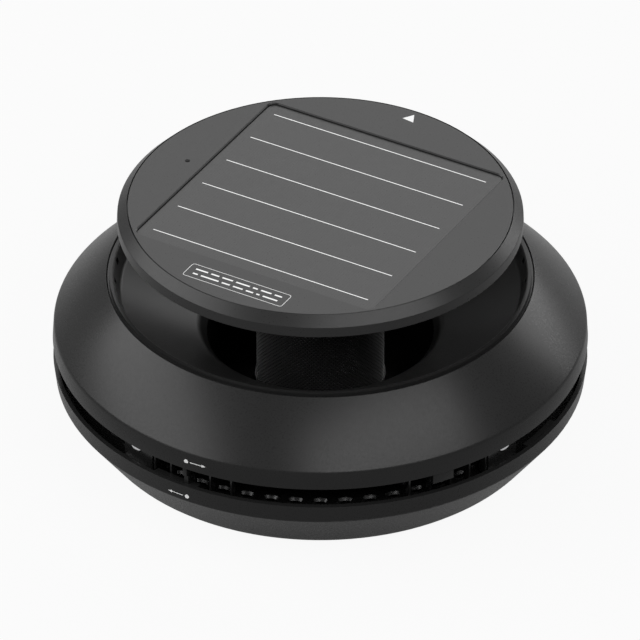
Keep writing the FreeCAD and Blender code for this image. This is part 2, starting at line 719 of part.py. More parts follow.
def battery_lead():
    """Lead from the battery, up inside the tower, to the charge board."""
    rise = LEAD_RISE_Y[0]
    x, y = polar(77.9, 180 + PANEL_TURN)
    route = [(0, PLUG_Y - 4 - SLACK, LEAD_Z), (0, rise, LEAD_Z), (0, rise, CAP_LEAD_Z), (x, y, CAP_LEAD_Z)]
    return held_lead(route, LEAD_R, LEAD_BEND)


def motor_lead():
    """Lead from the motor's brushes, up inside the tower, to the charge board."""
    brush = 9.0
    rise = LEAD_RISE_Y[1]
    x, y = polar(78.6, 187 + PANEL_TURN)
    route = [(0, brush, MOTOR_TOP + 2.2), (0, brush, MOTOR_TOP + 16), (0, rise, MOTOR_TOP + 28),
             (0, rise, CAP_LEAD_Z), (x, y, CAP_LEAD_Z)]
    return held_lead(route, LEAD_R - 0.3, LEAD_BEND)


# ---------------------------------------------------------------- cap

def cap_screw_places():
    """Screw places in the four segments beside the panel, from the panel's +X direction."""
    return [quarter + side for quarter in even(4) for side in (-25.0, 25.0)]


def board_corners():
    """Standoffs of the charge board, in the panel's own axes."""
    return [(x, y) for x in (-81.5, -96.0) for y in (-24.0, 24.0)]


def cap_pan():
    """Cap body: dropped floor, upright edge, chamfer and the ledge under the top plate."""
    floor_top = CAP_FLOOR + 2
    ledge_in = 102.4
    ledge_z = HEIGHT - PLATE - SLACK
    ledge_under = ledge_z - 2
    body = lathe([(0, CAP_FLOOR), (99.0, CAP_FLOOR, 3.0), (107.2, CAP_LOW), (CAP_R, CAP_LOW, 0.6),
                  (CAP_R - 0.3, CAP_CHAMFER_LOW, 0.6), (CAP_FACE_R, HEIGHT), (CAP_FACE_R, ledge_z),
                  (ledge_in, ledge_z), (ledge_in, ledge_under), (CAP_R - 5, ledge_under),
                  (CAP_R - 2.6, CAP_CHAMFER_LOW - 1.5), (CAP_R - 2.5, CAP_LOW + 2.4),
                  (CAP_R - 4.2, CAP_LOW + 2), (98.6, floor_top), (0, floor_top)])
    tray_side = PANEL + 2 * TRAY_WALL + 0.6
    body = body.cut(on_panel(square_slab(tray_side, PANEL_CORNER + 2, floor_top + 2, ledge_z + SLACK)))
    standoffs = [on_panel(rod(2.2, CAP_FLOOR + 1, BOARD_Z - SLACK, x, y)) for x, y in board_corners()]
    body = joined(body, standoffs)
    low = CAP_FLOOR - 1
    high = floor_top + 1
    holes = [on_panel(rod(1.45, low, high, *polar(CAP_SCREW_R, angle))) for angle in cap_screw_places()]
    holes += [on_panel(rod(1.0, BOARD_Z - 1.7, BOARD_Z, x, y)) for x, y in board_corners()]
    holes += around(rod(1.35, low, high, *polar(TOP_SCREW_R, 0.0)), even(POSTS))
    holes += [rod(LEAD_HOLE_R + 0.9, low, high, 0, y) for y in LEAD_RISE_Y]
    holes.append(on_panel(rod(BUTTON_R + 0.08, low, high, BUTTON_PLACE, 0)))
    return body.cut(holes)


def cap_top():
    """Round top plate with the sunk square tray for the panel and the screw bosses."""
    plate_low = HEIGHT - PLATE
    tray_floor = HEIGHT - PANEL_SINK - PANEL_THICK - GLUE_THICK
    edge = CAP_FACE_R - PLATE_GROOVE
    plate = lathe([(0, plate_low), (edge, plate_low), (edge, HEIGHT, 0.3), (0, HEIGHT)])
    tray = square_slab(PANEL + 2 * TRAY_WALL, PANEL_CORNER + TRAY_WALL, tray_floor - TRAY_WALL, plate_low + 1)
    boss_low = CAP_FLOOR + 2 + SLACK
    screw_spots = [polar(CAP_SCREW_R, angle) for angle in cap_screw_places()]
    bosses = [rod(3.2, boss_low, plate_low + 1, x, y) for x, y in screw_spots]
    bevel = 0.6
    mouth = Part.makeLoft([rounded_square(PANEL, PANEL_CORNER, HEIGHT - bevel),
                           rounded_square(PANEL + 2 * bevel, PANEL_CORNER + bevel, HEIGHT)], True)
    body = joined(plate, [tray] + bosses)
    cutters = [square_slab(PANEL, PANEL_CORNER, tray_floor, HEIGHT - bevel + 0.01), mouth]
    cutters += [rod(1.35, CAP_FLOOR, plate_low - 2, x, y) for x, y in screw_spots]
    cutters.append(rod(LED_LENS_R + SLACK, plate_low - 1, HEIGHT + 1, -LED_R, 0))
    return on_panel(body.cut(cutters))


def solar_panel():
    face = HEIGHT - PANEL_SINK
    slab = square_slab(PANEL - 0.4, PANEL_CORNER, face - PANEL_THICK, face)
    return on_panel(slab)


def panel_glue():
    """Foam tape frame under the panel."""
    low = HEIGHT - PANEL_SINK - PANEL_THICK - GLUE_THICK + SLACK / 4
    high = low + GLUE_THICK - SLACK / 2
    window = square_slab(PANEL - 20, PANEL_CORNER, low - 1, high + 1)
    return on_panel(square_slab(PANEL - 2, PANEL_CORNER, low, high).cut(window))


def busbars():
    """Collector strips on the panel's face."""
    face = HEIGHT - PANEL_SINK
    strips = []
    for index in range(BUSBARS):
        offset = (index - (BUSBARS - 1) / 2) * BUSBAR_SPACING
        strips.append(on_panel(block(BUSBAR_LENGTH, BUSBAR_WIDTH, face, face + 0.08, (0, offset))))
    return Part.makeCompound(strips)


def status_led():
    """Indicator on the charge board, with its lens in the top plate."""
    base = BOARD_TOP + SLACK
    lens = rod(LED_LENS_R, base, HEIGHT - 0.3, -LED_R, 0)
    return on_panel(joined(rod(1.9, base, HEIGHT - PLATE - 0.8, -LED_R, 0), [lens]))


def charge_board():
    board = block(21.0, 56.0, BOARD_Z, BOARD_TOP, (-89.5, 0))
    holes = [rod(1.1, BOARD_Z - 1, BOARD_TOP + 1, x, y) for x, y in board_corners()]
    return on_panel(board.cut(holes))


def board_components():
    """Charge controller, coil, capacitor and socket on the charge board."""
    top = BOARD_TOP + SLACK / 2
    chip = block(5.0, 6.0, top, top + 1.2, (-93.0, -12.0))
    coil = block(7.0, 7.0, top, top + 3.4, (-93.0, 9.0))
    capacitor = rod(2.5, top, top + 4.0, -85.0, 14.0)
    socket = block(4.0, 8.0, top, top + 3.0, (-84.0, -14.0))
    return Part.makeCompound([on_panel(shape) for shape in (chip, coil, capacitor, socket)])


def board_screws():
    screw_set = [screw(0.95, 3.2, 1.8, 1.0, x, y, BOARD_TOP + SLACK / 2) for x, y in board_corners()]
    return Part.makeCompound([on_panel(shape) for shape in screw_set])


def cap_screws():
    ring = screws(cap_screw_places(), CAP_SCREW_R, 1.3, 9.0, 2.6, 1.6, CAP_FLOOR - SLACK / 2, from_below=True)
    return on_panel(ring)


def power_button():
    """Push button in the cap's underside, with its stop flange and stem."""
    flange_low = CAP_FLOOR + 2 + SLACK
    flange_top = flange_low + 1.1
    stem_r = 2.0
    body = lathe([(0, BUTTON_LOW), (BUTTON_R, BUTTON_LOW, 0.8), (BUTTON_R, flange_low),
                  (BUTTON_R + 1.5, flange_low), (BUTTON_R + 1.5, flange_top), (stem_r, flange_top),
                  (stem_r, STEM_TOP), (0, STEM_TOP)])
    body.translate(Vector(BUTTON_PLACE, 0, 0))
    return on_panel(body)


def button_switch():
    """Small sprung switch over the button's stem."""
    plunger_low = STEM_TOP + BUTTON_TRAVEL + CLEAR
    case = block(6.0, 6.0, plunger_low + 0.5, SWITCH_TOP, (BUTTON_PLACE, 0))
    return on_panel(joined(case, [rod(1.5, plunger_low, SWITCH_TOP, BUTTON_PLACE, 0)]))


def switch_board():
    return on_panel(block(14.0, 14.0, SWITCH_TOP + SLACK / 2, HEIGHT - PLATE - SLACK, (BUTTON_PLACE, 0)))


os.makedirs("parts", exist_ok=True)

save("base_bowl", base_bowl())
for number, direction in enumerate(even(4, 45.0), start=1):
    save(f"rubber_foot_{number}", rubber_foot(direction))
save("vent_ring", vent_ring())
save("vent_ring_screws", screws(even(4, 22.5), RING_SCREW_R, 1.3, 9.0, 2.6, 1.6, VENT_RING_Z + SLACK / 2))
save("intake_grille", intake_grille())
save("duct_gasket", duct_gasket())

save("ring_cover", ring_cover())
for corner, (facing, hand) in guard_places().items():
    save(f"vent_guard_{corner}", vent_guard(facing, hand))
save("guard_screws", guard_screws())
save("dish", dish())
save("service_pan", service_pan())
save("pan_screws", screws(even(6, 30.0), BOSS_CIRCLE_R, 1.3, 11.0, 2.6, 1.6, DECK_Z - 2 - SLACK / 2, True))
save("fan_duct", fan_duct())
save("duct_screws", screws(even(6), DECK_SCREW_R, 1.3, 2.9, 2.2, 1.4, DECK_UNDER - SLACK / 2, True))

save("motor_mount", motor_mount())
save("motor_cup", motor_cup())
save("tower_foot", tower_foot())
save("tower_posts", tower_posts())
save("tower_flange", tower_flange())
screw_seat = TOWER_FOOT_TOP + SLACK / 2
screw_angles = even(POSTS, TOWER_SCREW_START)
save("tower_foot_screws", screws(screw_angles, TOWER_SCREW_R, 1.0, 7.5, 1.5, 1.2, screw_seat))
save("tower_top_screws", screws(even(POSTS), TOP_SCREW_R, 1.3, 4.6, 2.6, 1.6, TOWER_TOP - SLACK / 2, True))
save("mesh_screen", mesh_screen())
save("mesh_foot_ring", mesh_foot_ring())

save("motor_can", motor_can())
save("motor_end_cap", motor_end_cap())
save("motor_magnets", motor_magnets())
save("motor_bearings", motor_bearings())
save("motor_shaft", motor_shaft())
save("armature", armature())
save("commutator", commutator())
save("impeller", impeller())
save("impeller_clip", impeller_clip())

for letter, direction in CELL_ANGLES.items():
    save(f"battery_cell_{letter}", battery_cell(direction))
    save(f"battery_holder_{letter}", battery_holder(direction))
save("battery_contacts", battery_contacts())
save("lead_grommet", lead_grommet())
save("lead_plug", lead_plug())
save("battery_lead", battery_lead())
save("motor_lead", motor_lead())

save("cap_pan", cap_pan())
save("cap_top", cap_top())
save("cap_screws", cap_screws())
save("solar_panel", solar_panel())
save("panel_glue", panel_glue())
save("busbars", busbars())
save("status_led", status_led())
save("charge_board", charge_board())
save("board_components", board_components())
save("board_screws", board_screws())
save("power_button", power_button())
save("button_switch", button_switch())
save("switch_board", switch_board())
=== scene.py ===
import math

import bmesh
import bpy
from mathutils import Matrix, Vector


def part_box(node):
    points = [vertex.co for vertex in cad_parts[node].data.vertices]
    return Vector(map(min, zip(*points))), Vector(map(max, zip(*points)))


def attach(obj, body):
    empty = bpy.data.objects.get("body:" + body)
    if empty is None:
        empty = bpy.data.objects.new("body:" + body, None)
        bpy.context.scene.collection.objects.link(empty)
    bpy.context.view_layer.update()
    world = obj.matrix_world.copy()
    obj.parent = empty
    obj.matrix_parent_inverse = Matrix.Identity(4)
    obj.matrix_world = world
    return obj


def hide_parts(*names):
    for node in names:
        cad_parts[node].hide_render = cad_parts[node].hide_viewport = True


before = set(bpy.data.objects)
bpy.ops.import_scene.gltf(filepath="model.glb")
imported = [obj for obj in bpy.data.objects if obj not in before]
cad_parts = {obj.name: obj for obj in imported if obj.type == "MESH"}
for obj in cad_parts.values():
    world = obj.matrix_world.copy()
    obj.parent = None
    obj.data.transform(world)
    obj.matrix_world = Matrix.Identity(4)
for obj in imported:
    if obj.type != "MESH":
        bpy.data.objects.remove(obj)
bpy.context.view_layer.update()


# ================================================================ Camera
# A long lens, well back and 35 degrees above the floor, looks at the middle of the front.
# The near and far sides keep the same size at this distance.

camera_lens = 450.0
camera_sensor = 36.0
view_across = 0.352
camera_elevation = math.radians(35.0)
camera_aim = Vector((-0.0002, 0.0, 0.0628))
camera_distance = view_across * camera_lens / camera_sensor

camera = bpy.data.objects.new("camera", bpy.data.cameras.new("camera"))
camera.data.lens = camera_lens
camera.data.sensor_width = camera_sensor
camera.data.clip_end = 50.0
camera_side = Vector((0, -math.cos(camera_elevation), math.sin(camera_elevation)))
camera.location = camera_aim + camera_distance * camera_side
camera.rotation_euler = (math.pi / 2 - camera_elevation, 0, 0)
bpy.context.collection.objects.link(camera)
bpy.context.scene.camera = camera
bpy.context.scene.view_settings.view_transform = "Standard"


# ================================================================ Floor and lights
# A plain white floor runs on to the horizon, under one soft panel overhead and four round the object.
# The camera sees them as white and gloss sees them dimmed, while they light the object only weakly.

def linear(hex_colour):
    """Linear RGBA of an sRGB hex colour."""
    channels = [int(hex_colour[i:i + 2], 16) / 255 for i in (1, 3, 5)]
    return tuple(c / 12.92 if c <= 0.04045 else ((c + 0.055) / 1.055) ** 2.4 for c in channels) + (1.0,)


def add(material, kind, inputs=None, **settings):
    """Adds one node with its settings; an input is given a value or an output socket to link."""
    node = material.node_tree.nodes.new(kind)
    for setting, value in settings.items():
        setattr(node, setting, value)
    for socket, value in (inputs or {}).items():
        if isinstance(value, bpy.types.NodeSocket):
            material.node_tree.links.new(value, node.inputs[socket])
        else:
            node.inputs[socket].default_value = value
    return node


floor_reach = 12.0
bm = bmesh.new()
bmesh.ops.create_grid(bm, x_segments=1, y_segments=1, size=floor_reach)
floor_mesh = bpy.data.meshes.new("floor")
bm.to_mesh(floor_mesh)
bm.free()
floor = bpy.data.objects.new("floor", floor_mesh)
bpy.context.collection.objects.link(floor)


def white_share(material, seen, mirrored):
    """How white the surroundings look: one share straight on, another in gloss and glass, none as light."""
    rays = add(material, "ShaderNodeLightPath")
    gloss = add(material, "ShaderNodeMath",
                {0: rays.outputs["Is Glossy Ray"], 1: rays.outputs["Is Transmission Ray"]},
                operation="MAXIMUM")
    in_gloss = add(material, "ShaderNodeMath", {0: gloss.outputs[0], 1: mirrored}, operation="MULTIPLY")
    share = add(material, "ShaderNodeMath",
                {0: rays.outputs["Is Camera Ray"], 1: seen, 2: in_gloss.outputs[0]},
                operation="MULTIPLY_ADD")
    return share.outputs[0]


# White card: a matt surface, most of which shows as plain white to the camera.
card = bpy.data.materials.new("white_card")
card.use_nodes = True
card_shader = card.node_tree.nodes["Principled BSDF"]
card_shader.inputs["Base Color"].default_value = linear("#ACACAC")
card_shader.inputs["Roughness"].default_value = 0.9
card_shader.inputs["Specular IOR Level"].default_value = 0.1
white = add(card, "ShaderNodeEmission", {"Color": (1, 1, 1, 1), "Strength": 1.0})
blend = add(card, "ShaderNodeMixShader", {0: white_share(card, 0.93, 0.15), 1: card_shader.outputs[0],
                                          2: white.outputs[0]})
card.node_tree.links.new(blend.outputs[0], card.node_tree.nodes["Material Output"].inputs["Surface"])
floor_mesh.materials.append(card)

sky_level = 0.12
sky = bpy.data.worlds.new("sky")
sky.use_nodes = True
strength = add(sky, "ShaderNodeMapRange",
               {"Value": white_share(sky, 1.0, 0.35), "To Min": sky_level, "To Max": 1.0})
sky.node_tree.links.new(strength.outputs[0], sky.node_tree.nodes["Background"].inputs["Strength"])
sky.node_tree.nodes["Background"].inputs["Color"].default_value = (1, 1, 1, 1)
bpy.context.scene.world = sky


def lamp(name, azimuth, elevation, distance, width, height, brightness):
    """Soft panel that faces the object; azimuth is from the front, towards the right.
    A brightness of 1 looks white in a mirror."""
    light = bpy.data.lights.new(name, "AREA")
    light.shape = "RECTANGLE"
    light.size = width
    light.size_y = height
    light.energy = brightness * math.pi * width * height
    turn = math.radians(azimuth)
    lift = math.radians(elevation)
    towards = Vector((math.sin(turn) * math.cos(lift), -math.cos(turn) * math.cos(lift), math.sin(lift)))
    panel = bpy.data.objects.new(name, light)
    panel.location = towards * distance
    panel.rotation_euler = towards.to_track_quat("Z", "Y").to_euler()
    bpy.context.collection.objects.link(panel)


lamp("overhead_panel", 0.0, 88.0, 2.0, 1.2, 1.2, 0.6)
lamp("left_panel", -86.0, 36.0, 2.2, 3.0, 1.0, 4.8)
lamp("front_right_panel", 34.0, 49.0, 2.2, 2.3, 0.9, 4.8)
lamp("back_right_panel", 135.0, 21.0, 2.4, 1.6, 0.9, 4.0)
lamp("back_panel", 180.0, 37.0, 2.6, 1.5, 1.3, 2.35)


# ================================================================ Base bowl
# The base is one moulding in black ABS, with an intake collar in its floor and catches inside its rim.
# Its outside has the fine even grain of a spark-eroded mould.

MM = 0.001
FRONT = math.radians(-90.0)


def bumpy_plastic(name, colour, worn, roughness, grain_mm, depth, specular):
    """Moulded ABS: a fine grain, slightly uneven gloss, and faint cloudy shade of the pigment."""
    plastic = bpy.data.materials.new(name)
    plastic.use_nodes = True
    shader = plastic.node_tree.nodes["Principled BSDF"]
    shader.inputs["IOR"].default_value = 1.54
    shader.inputs["Specular IOR Level"].default_value = specular
    place = add(plastic, "ShaderNodeTexCoord").outputs["Object"]
    cloud = add(plastic, "ShaderNodeTexNoise", {"Vector": place, "Scale": 1 / (40 * MM), "Detail": 3.0})
    tint = add(plastic, "ShaderNodeMix", {0: cloud.outputs[0], 6: linear(colour), 7: linear(worn)},
               data_type="RGBA")
    grain = add(plastic, "ShaderNodeTexNoise", {"Vector": place, "Scale": 1 / (grain_mm * MM), "Detail": 2.0})
    gloss = add(plastic, "ShaderNodeMapRange", {"Value": grain.outputs[0], "From Min": 0.3, "From Max": 0.7,
                                               "To Min": roughness - 0.05, "To Max": roughness + 0.05})
    relief = add(plastic, "ShaderNodeBump",
                 {"Height": grain.outputs[0], "Strength": 0.35, "Distance": depth * MM})
    for socket, value in (("Base Color", tint.outputs[2]), ("Roughness", gloss.outputs[0]),
                          ("Normal", relief.outputs[0])):
        plastic.node_tree.links.new(value, shader.inputs[socket])
    return plastic


# The real grain is about 0.1 mm; it is drawn at 0.9 mm so that it still shows.
housing_abs = bumpy_plastic("spark_eroded_black_abs", "#191919", "#1D1D1D", 0.3, 0.9, 0.012, 0.17)


def coat(material, *names):
    """Gives CAD nodes their finish."""
    for name in names:
        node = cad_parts[name]
        if not node.data.materials:
            node.data.materials.append(material)
        for slot in node.material_slots:
            slot.material = material


coat(housing_abs, "base_bowl")


# ================================================================ Rubber feet
# Four glued feet of soft black rubber stand in pockets under the base.
# Each is moulded with a rounded edge and two grip grooves in its face.

def turned(bm, outline, steps, closed=True, sweep=math.tau, start=0.0):
    """Adds a shape turned about the axis from (radius, height, rounding) points in millimetres."""
    verts = [bm.verts.new((point[0], 0, point[1])) for point in outline]
    following = verts[1:] + verts[:1] if closed else verts[1:]
    edges = [bm.edges.new(pair) for pair in zip(verts, following)]
    profile = list(verts)
    for vert, point in zip(verts, outline):
        if len(point) == 3:
            rounded = bmesh.ops.bevel(bm, geom=[vert], offset=point[2], offset_type="OFFSET", segments=4,
                                      profile=0.5, affect="VERTICES", material=-1)
            profile += rounded["verts"]
            edges += rounded["edges"]
    profile = [vert for vert in profile if vert.is_valid]
    edges = list({edge for vert in profile for edge in vert.link_edges})
    faces = [bmesh.ops.contextual_create(bm, geom=edges)["faces"][0]] if sweep < math.tau else []
    bmesh.ops.rotate(bm, verts=profile, cent=(0, 0, 0), matrix=Matrix.Rotation(start, 3, "Z"))
    bmesh.ops.spin(bm, geom=profile + edges + faces, cent=(0, 0, 0), axis=(0, 0, 1), angle=sweep,
                   steps=steps, use_merge=not faces)
    bmesh.ops.remove_doubles(bm, verts=bm.verts[:], dist=1e-4)
    bmesh.ops.recalc_face_normals(bm, faces=bm.faces[:])


def copies(bm, angles, radius=0.0, height=0.0):
    """Copies all of a mesh to several angles about the axis, at a radius, in place of the first."""
    first = bm.verts[:] + bm.edges[:] + bm.faces[:]
    for angle in angles:
        copy = bmesh.ops.duplicate(bm, geom=first)["geom"]
        verts = [item for item in copy if isinstance(item, bmesh.types.BMVert)]
        place = Matrix.Rotation(angle, 4, "Z") @ Matrix.Translation((radius, 0, height))
        bmesh.ops.transform(bm, matrix=place, verts=verts)
    first_verts = [item for item in first if isinstance(item, bmesh.types.BMVert)]
    bmesh.ops.delete(bm, geom=first_verts, context="VERTS")


def piece(name, bm, material, crease=35.0):
    """Ends a mesh made in millimetres as an object in metres, smooth except at its creases."""
    bmesh.ops.scale(bm, vec=(MM, MM, MM), verts=bm.verts[:])
    mesh = bpy.data.meshes.new(name)
    bm.to_mesh(mesh)
    bm.free()
    mesh.shade_smooth()
    mesh.set_sharp_from_angle(angle=math.radians(crease))
    mesh.materials.append(material)
    made = bpy.data.objects.new(name, mesh)
    bpy.context.collection.objects.link(made)
    return made


def quarter_turns(count, start=0.0):
    """Evenly spaced angles round the axis, from a start in degrees."""
    return [math.radians(start) + math.tau * index / count for index in range(count)]


# Moulded rubber: matt, slightly dusty, with a very fine grain.
foot_rubber = bumpy_plastic("moulded_black_rubber", "#161616", "#1F1F1E", 0.75, 0.6, 0.03, 0.25)

foot_r = 8.8
foot_top = 3.4
foot_circle = 100.0
bm = bmesh.new()
foot_face = [(0, 0), (2.6, 0), (2.9, 0.4), (3.7, 0.4), (4.0, 0), (5.9, 0), (6.2, 0.4), (7.0, 0.4), (7.3, 0)]
turned(bm, foot_face + [(foot_r, 0, 0.7), (foot_r, foot_top), (0, foot_top)], 48)
copies(bm, quarter_turns(4, 45.0), foot_circle)
feet = piece("rubber_feet", bm, foot_rubber)
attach(feet, "base")
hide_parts("rubber_foot_1", "rubber_foot_2", "rubber_foot_3", "rubber_foot_4")


# ================================================================ Base insides
# The slotted ring is glossy black ABS; the intake grille and fan are black ABS coloured nearly black as
# painted shade; a rubber ring seals the duct.
# Each slot has an oval funnel let into its mouth. Screws hold the ring to its bosses.

# Glossy ABS: moulded against polished steel, with hardly any grain.
glossy_abs = bumpy_plastic("glossy_black_abs", "#101010", "#141414", 0.28, 0.8, 0.002, 0.4)
coat(glossy_abs, "vent_ring")

slots = 60
slots_r = 128.0
ring_top = 33.4
funnel_wall = 0.2
# Half width, half length and height above the ring of each rim, from the flared mouth down.
funnel_rims = ((3.4, 5.4, 0.25), (2.5, 4.7, 0.15), (1.4, 3.4, -1.4))
bm = bmesh.new()
rims = []
for across, along, rise in funnel_rims:
    rim = bmesh.ops.create_circle(bm, segments=20, radius=1.0)["verts"]
    bmesh.ops.scale(bm, vec=(across, along, 1), verts=rim)
    bmesh.ops.translate(bm, vec=(0, 0, ring_top + rise), verts=rim)
    rims.append(list({edge for vert in rim for edge in vert.link_edges}))
for upper_rim, lower_rim in zip(rims, rims[1:]):
    bmesh.ops.bridge_loops(bm, edges=upper_rim + lower_rim)
bmesh.ops.recalc_face_normals(bm, faces=bm.faces[:])
bmesh.ops.solidify(bm, geom=bm.faces[:], thickness=funnel_wall)
copies(bm, quarter_turns(slots), slots_r)
funnels = piece("vent_slot_funnels", bm, glossy_abs)
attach(funnels, "base")

# Black ABS, matt, with its colour painted nearly black, darker than the housing, as painted shade for the
# parts that lie in shade inside.
shade_darkened_abs = bumpy_plastic("shade_darkened_black_abs", "#050505", "#080808", 0.6, 0.8, 0.01, 0.03)
coat(shade_darkened_abs, "intake_grille", "impeller")
coat(foot_rubber, "duct_gasket")


# ================================================================ Ring cover
# The sloping cover and its upright band are one moulding in black ABS, over the side gap.
# It is screwed to the guards, and carries two tabs and a half rib over the lock mark.

cover_steps = 360
bm = bmesh.new()
turned(bm, [(115.0, 93.6), (116.8, 93.6, 0.3), (117.4, 94.6, 0.4), (146.6, 65.0, 1.2), (147.3, 54.8, 0.25),
            (144.9, 54.8, 0.25), (144.3, 64.0), (117.2, 91.4), (115.0, 91.4)], cover_steps)
cover = piece("ring_cover_shell", bm, housing_abs)
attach(cover, "upper")
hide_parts("ring_cover")


def arc_block(bm, inner, outer, low, high, start, end, edge=0.3):
    """Adds a curved block between radii, heights and angles from the front, with softened edges."""
    block = bmesh.new()
    outline = [(inner, low), (outer, low), (outer, high), (inner, high)]
    steps = max(1, round((end - start) / 3))
    turned(block, outline, steps, sweep=math.radians(end - start), start=FRONT + math.radians(start))
    sharp = [e for e in block.edges if e.calc_face_angle(0) > math.radians(40)]
    bmesh.ops.bevel(block, geom=sharp, offset=edge, offset_type="OFFSET", segments=2, profile=0.5,
                    affect="EDGES", material=-1)
    loose = bpy.data.meshes.new("block")
    block.to_mesh(loose)
    block.free()
    bm.from_mesh(loose)
    bpy.data.meshes.remove(loose)


tab_in = 141.5
tab_out = 146.1
tab_low = 48.2
tab_top = 57.1
tab_start = 24.5
tab_end = 29.4
half_rib_low = 48.9
bm = bmesh.new()
for facing in (0, 180):
    arc_block(bm, tab_in, tab_out, tab_low, tab_top, facing + tab_start, facing + tab_end)
arc_block(bm, tab_in, tab_out, half_rib_low, tab_top, -30.5, -29.5)
tabs = piece("cover_tabs", bm, housing_abs)
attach(tabs, "upper")


# ================================================================ Vent guards
# Four quarter guards of black ABS stand in the side gap, each with a rail, five ribs and a leg.
# A long screw up each leg holds the ring cover, and the leg's lug locks under the base's catches.

# Moulded ABS with the cover's grain and a stronger shine.
guard_abs = bumpy_plastic("moulded_black_abs", "#191919", "#1D1D1D", 0.3, 0.9, 0.012, 0.5)

guard_in = 134.0
guard_out = 140.6
guard_low = 35.9
guard_top = 60.0
rail_low = 57.2
rib_angles = (20.0, 25.0, 30.0, 35.0, 39.5)
rib_half = 0.25
rib_in = guard_in + 1.5
rib_low = guard_low + 1
sunk_in_rail = rail_low + 0.5
rail_out = guard_out + 3.2
rail_start = rib_angles[0] - 0.6
leg_start = 40.2
leg_end = 49.0
lug_in = guard_out - 1
lug_out = guard_out + 2.2
lug_top = 39.1

# Name, the angle it faces and the way its own angles run.
corners = (("front_right", 0, 1), ("front_left", 0, -1), ("back_left", 180, 1), ("back_right", 180, -1))
for corner, facing, hand in corners:
    spans = [(guard_in, rail_out, rail_low, guard_top, rail_start, leg_end)]
    spans += [(rib_in, guard_out, rib_low, sunk_in_rail, a - rib_half, a + rib_half) for a in rib_angles]
    spans += [(guard_in, guard_out, guard_low, sunk_in_rail, leg_start, leg_end)]
    spans += [(lug_in, lug_out, guard_low, lug_top, leg_start, leg_end)]
    bm = bmesh.new()
    for inner, outer, low, high, near, far in spans:
        start, end = sorted((facing + hand * near, facing + hand * far))
        arc_block(bm, inner, outer, low, high, start, end)
    guard = piece("guard_" + corner, bm, guard_abs)
    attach(guard, "upper")
    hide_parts("vent_guard_" + corner)


# ================================================================ Dish
# The funnel-shaped dish is semi-gloss black ABS, dropped into the cover and held by the screws under it.
# Slots in its steep wall let rain run off, and show as short dark marks under the lip.

# Semi-gloss ABS: lightly polished, so it shows soft highlights.
dish_abs = bumpy_plastic("semi_gloss_black_abs", "#1D1D1D", "#212121", 0.33, 0.8, 0.004, 0.13)

dish_steps = 720
dish_wall = 2.0
steep_wall_r = 110.0   # the steep wall lies outside this radius
bm = bmesh.new()
turned(bm, [(115.6, 95.7, 0.3), (113.2, 95.7, 0.8), (110.0, 85.0, 1.4), (66.8, 63.0, 2.4), (62.4, 56.6)],
       dish_steps, closed=False)
low_slot = (87.0, 88.8)
high_slot = (91.2, 94.4)
high_width = 2.0
high_angles = (87.0, 97.0)
# Angle from the front and width in degrees of each low slot, on both sides.
low_slots = ((65.0, 9.0), (37.0, 3.5), (26.0, 3.5), (117.0, 9.0), (143.0, 3.5), (154.0, 3.5))
slot_rows = [(side * angle, high_width, *high_slot) for side in (-1, 1) for angle in high_angles]
slot_rows += [(side * angle, width, *low_slot) for side in (-1, 1) for angle, width in low_slots]
for level in low_slot + high_slot:
    steep = [f for f in bm.faces if math.hypot(*f.calc_center_median().xy) > steep_wall_r]
    edges = {e for f in steep for e in f.edges}
    verts = {v for f in steep for v in f.verts}
    bmesh.ops.bisect_plane(bm, geom=steep + list(edges) + list(verts), dist=1e-5, plane_co=(0, 0, level),
                           plane_no=(0, 0, 1))
openings = []
for face in bm.faces:
    middle = face.calc_center_median()
    bearing = math.degrees((math.atan2(middle.y, middle.x) - FRONT + math.pi) % math.tau - math.pi)
    if any(abs(bearing - angle) < width / 2 and low < middle.z < high and middle.xy.length > steep_wall_r
           for angle, width, low, high in slot_rows):
        openings.append(face)
bmesh.ops.delete(bm, geom=openings, context="FACES")
bmesh.ops.solidify(bm, geom=bm.faces[:], thickness=dish_wall)
dish = piece("dish_funnel", bm, dish_abs)
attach(dish, "upper")
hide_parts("dish")


# ================================================================ Deck, compartment and motor
# Under the dish a black ABS pan holds two cells, and a deck closes the well round the fan's duct.
# The motor stands in a cup on three arms, with its drawn steel can and a plastic end cap.

# The parts under the dish use the same ABS; its near-black colour is painted shade.
coat(shade_darkened_abs, "service_pan", "fan_duct", "motor_mount", "motor_cup", "tower_foot", "tower_posts",
     "tower_flange", "battery_holder_a", "battery_holder_b", "motor_end_cap")


def metal(name, colour, stained, roughness, grain_mm, stretch=(1, 1, 1)):
    """Bare metal: its reflection broken by a grain that may be drawn out along one axis."""
    bare = bpy.data.materials.new(name)
    bare.use_nodes = True
    shader = bare.node_tree.nodes["Principled BSDF"]
    shader.inputs["Metallic"].default_value = 1.0
    place = add(bare, "ShaderNodeTexCoord").outputs["Object"]
    drawn = add(bare, "ShaderNodeMapping", {"Vector": place, "Scale": stretch})
    grain = add(bare, "ShaderNodeTexNoise",
                {"Vector": drawn.outputs[0], "Scale": 1 / (grain_mm * MM), "Detail": 4.0})
    tint = add(bare, "ShaderNodeMix", {0: grain.outputs[0], 6: linear(colour), 7: linear(stained)},
               data_type="RGBA")
    gloss = add(bare, "ShaderNodeMapRange", {"Value": grain.outputs[0], "From Min": 0.3, "From Max": 0.7,
                                            "To Min": roughness - 0.08, "To Max": roughness + 0.08})
    relief = add(bare, "ShaderNodeBump", {"Height": grain.outputs[0], "Strength": 0.3, "Distance": 0.01 * MM})
    for socket, value in (("Base Color", tint.outputs[2]), ("Roughness", gloss.outputs[0]),
                          ("Normal", relief.outputs[0])):
        bare.node_tree.links.new(value, shader.inputs[socket])
    return bare


